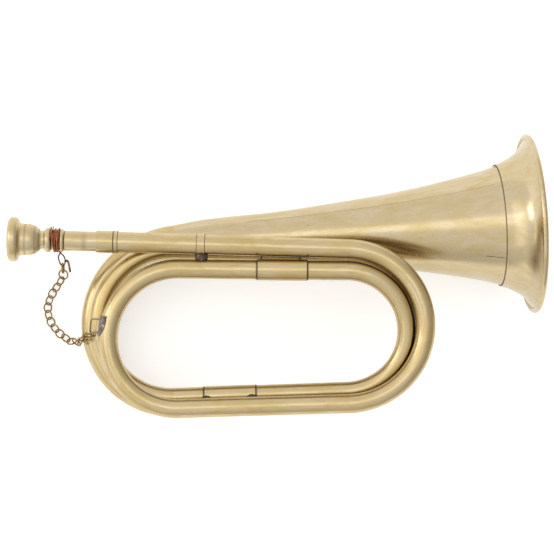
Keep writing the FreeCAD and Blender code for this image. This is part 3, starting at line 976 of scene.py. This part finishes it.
def plate_mesh(name):
    rows = []
    at = [p[0] for p in PLATE_EDGE]
    for degrees in np.linspace(at[0], at[-1], PLATE_ROWS):
        top = float(np.interp(degrees, at, [p[1] for p in PLATE_EDGE]))
        from_end = min(degrees - at[0], at[-1] - degrees) / 0.6
        outer_row, inner_row = [], []
        for t in np.linspace(0, 1, PLATE_COLUMNS):
            v = PLATE_FOOT + (top - PLATE_FOOT) * t
            from_edge = min(t, 1 - t) * 18
            rim = min(1.0, from_edge, from_end + 0.15)
            dish = 0.16 if min(from_edge, from_end * 1.4) > 2.0 else 0.0
            ripple = 0.06 * math.sin(7 * t + degrees) * math.sin(1.7 * degrees + 3 * t)
            height = PLATE_THICKNESS * (0.35 + 0.65 * max(0.0, rim) ** 0.5) - dish + (ripple if dish else 0)
            outer_row.append(on_bow(degrees, v, TUBE_RADIUS + height))
            inner_row.append(on_bow(degrees, v, TUBE_RADIUS))
        rows.append(outer_row + inner_row[::-1])
    around = 2 * PLATE_COLUMNS
    verts = [p for row in rows for p in row]
    faces = []
    for r in range(PLATE_ROWS - 1):
        for k in range(around):
            j = (k + 1) % around
            faces.append((r * around + k, r * around + j, (r + 1) * around + j, (r + 1) * around + k))
    last = (PLATE_ROWS - 1) * around
    for k in range(PLATE_COLUMNS - 1):
        faces.append((k + 1, k, around - 1 - k, around - 2 - k))
        faces.append((last + k, last + k + 1, last + around - 2 - k, last + around - 1 - k))
    mesh = bpy.data.meshes.new(name)
    mesh.from_pydata([tuple(v) for v in verts], [], faces)
    mesh.transform(LAY)
    mesh.polygons.foreach_set("use_smooth", [True] * len(mesh.polygons))
    mesh.update()
    mesh.set_sharp_from_angle(angle=math.radians(45))
    return mesh


mesh = plate_mesh("fine_chain_plate")
finish_piece("fine_chain_plate", mesh, bracket_brass, "chain_plate", "horn")

corner_points = [Vector(p) for p in LOOP_POINTS]
loop_route = [corner_points[0]]
for before, corner, after in zip(corner_points, corner_points[1:], corner_points[2:]):
    a = corner + (before - corner).normalized() * 1.1
    b = corner + (after - corner).normalized() * 1.1
    loop_route += [a * (1 - t) ** 2 + corner * 2 * t * (1 - t) + b * t * t for t in np.linspace(0, 1, 7)]
loop_route.append(corner_points[-1])
nub = [
    on_bow(163.0, 62, TUBE_RADIUS + 0.5),
    on_bow(163.0, 50, TUBE_RADIUS + 0.6),
    on_bow(163.3, 38, TUBE_RADIUS + 0.5),
]
mesh = wire_mesh("fine_chain_loop", [(loop_route, LOOP_WIRE), (smooth_route(nub, 4), 0.5)], 14)
finish_piece("fine_chain_loop", mesh, bracket_wire, "chain_loop", "horn")

# ---- solder: its CAD solids have the right shape ----
for name, one in frame["nodes"].items():
    if name.startswith("solder"):
        one.data.materials.clear()
        one.data.materials.append(solder_grey)

# ---- floor, light and camera ----
floor_mesh = bpy.data.meshes.new("floor")
half = 3.0
floor_corners = [(-half, -half, 0), (half, -half, 0), (half, half, 0), (-half, half, 0)]
floor_mesh.from_pydata(floor_corners, [], [(0, 1, 2, 3)])
floor = bpy.data.objects.new("floor", floor_mesh)
bpy.context.scene.collection.objects.link(floor)
floor_paint = bpy.data.materials.new("floor_paint")
floor_paint.use_nodes = True
floor_paint.node_tree.nodes["Principled BSDF"].inputs["Base Color"].default_value = (0.9, 0.9, 0.895, 1)
floor_paint.node_tree.nodes["Principled BSDF"].inputs["Roughness"].default_value = 0.9
floor_paint.node_tree.nodes["Principled BSDF"].inputs["Emission Color"].default_value = (1, 1, 1, 1)
floor_paint.node_tree.nodes["Principled BSDF"].inputs["Emission Strength"].default_value = 0.41
floor_mesh.materials.append(floor_paint)

world = bpy.data.worlds.new("tent")
bpy.context.scene.world = world
world.use_nodes = True
tree = world.node_tree
background = tree.nodes["Background"]
direction = node(tree, "ShaderNodeTexCoord").outputs["Generated"]


def towards(axis):
    one = node(tree, "ShaderNodeVectorMath", {0: direction}, operation="DOT_PRODUCT")
    one.inputs[1].default_value = axis
    return one.outputs["Value"]


across = math_node(tree, "MULTIPLY_ADD", towards(Y_AXIS), 0.5)
across.node.inputs[2].default_value = 0.5
side = math_node(tree, "MULTIPLY_ADD", towards(X_AXIS), 0.5)
side.node.inputs[2].default_value = 0.5
# Brightness of the tent by how far a direction leans to -y (0) or +y (1), and to -x (0) or +x (1)
tall = ramp(
    tree, across,
    [(0.0, grey(0.72)), (0.16, grey(1.0)), (0.45, grey(1.12)), (0.52, grey(1.16)), (1.0, grey(1.12))],
)
wide = ramp(
    tree, side,
    [(0.0, grey(0.95)), (0.45, grey(1.02)), (0.55, grey(0.98)), (0.72, grey(0.80)), (0.87, grey(0.58)),
     (1.0, grey(0.48))],
)
both = mix_colour(tree, 1.0, tall, wide, "MULTIPLY")
tree.links.new(both, background.inputs["Color"])
background.inputs["Strength"].default_value = 1.0

centre = LAY @ Vector((0, 0, 0))


def softbox(name, up_deg, right_deg, distance, width, height, radiance, colour=(1, 1, 1)):
    """A rectangular light, placed by how far it stands from the coil's normal towards +y and +x."""
    light = bpy.data.lights.new(name, "AREA")
    light.shape = "RECTANGLE"
    light.size = width
    light.size_y = height
    light.energy = radiance * math.pi * width * height
    light.color = colour
    lamp = bpy.data.objects.new(name, light)
    bpy.context.scene.collection.objects.link(lamp)
    lean = Matrix.Rotation(math.radians(right_deg), 4, "Y") @ Matrix.Rotation(math.radians(-up_deg), 4, "X")
    lamp.matrix_world = Matrix.Translation(centre) @ turn @ lean @ Matrix.Translation((0, 0, distance))
    return lamp


softbox("key", 8, -16, 1.6, 2.0, 0.55, 0.62)
softbox("left", 0, -40, 1.5, 0.45, 2.2, 0.5)
for row in (-1, 1):
    for column in (-1, 1):
        softbox("pane_%d_%d" % (row, column), 12 + 4.2 * row, -66 + 4.2 * column, 1.5, 0.19, 0.19, 4.0)

camera_data = bpy.data.cameras.new("camera")
camera = bpy.data.objects.new("camera", camera_data)
bpy.context.scene.collection.objects.link(camera)
VIEW_DISTANCE = 1.2
VIEW_WIDTH = 0.28603
camera_data.sensor_width = 36.0
camera_data.lens = 36.0 * VIEW_DISTANCE / VIEW_WIDTH
camera_data.clip_end = 20
camera.matrix_world = Matrix.Translation(centre) @ turn @ Matrix.Translation((0, 0, VIEW_DISTANCE))
bpy.context.scene.camera = camera
bpy.context.scene.view_settings.view_transform = "Standard"
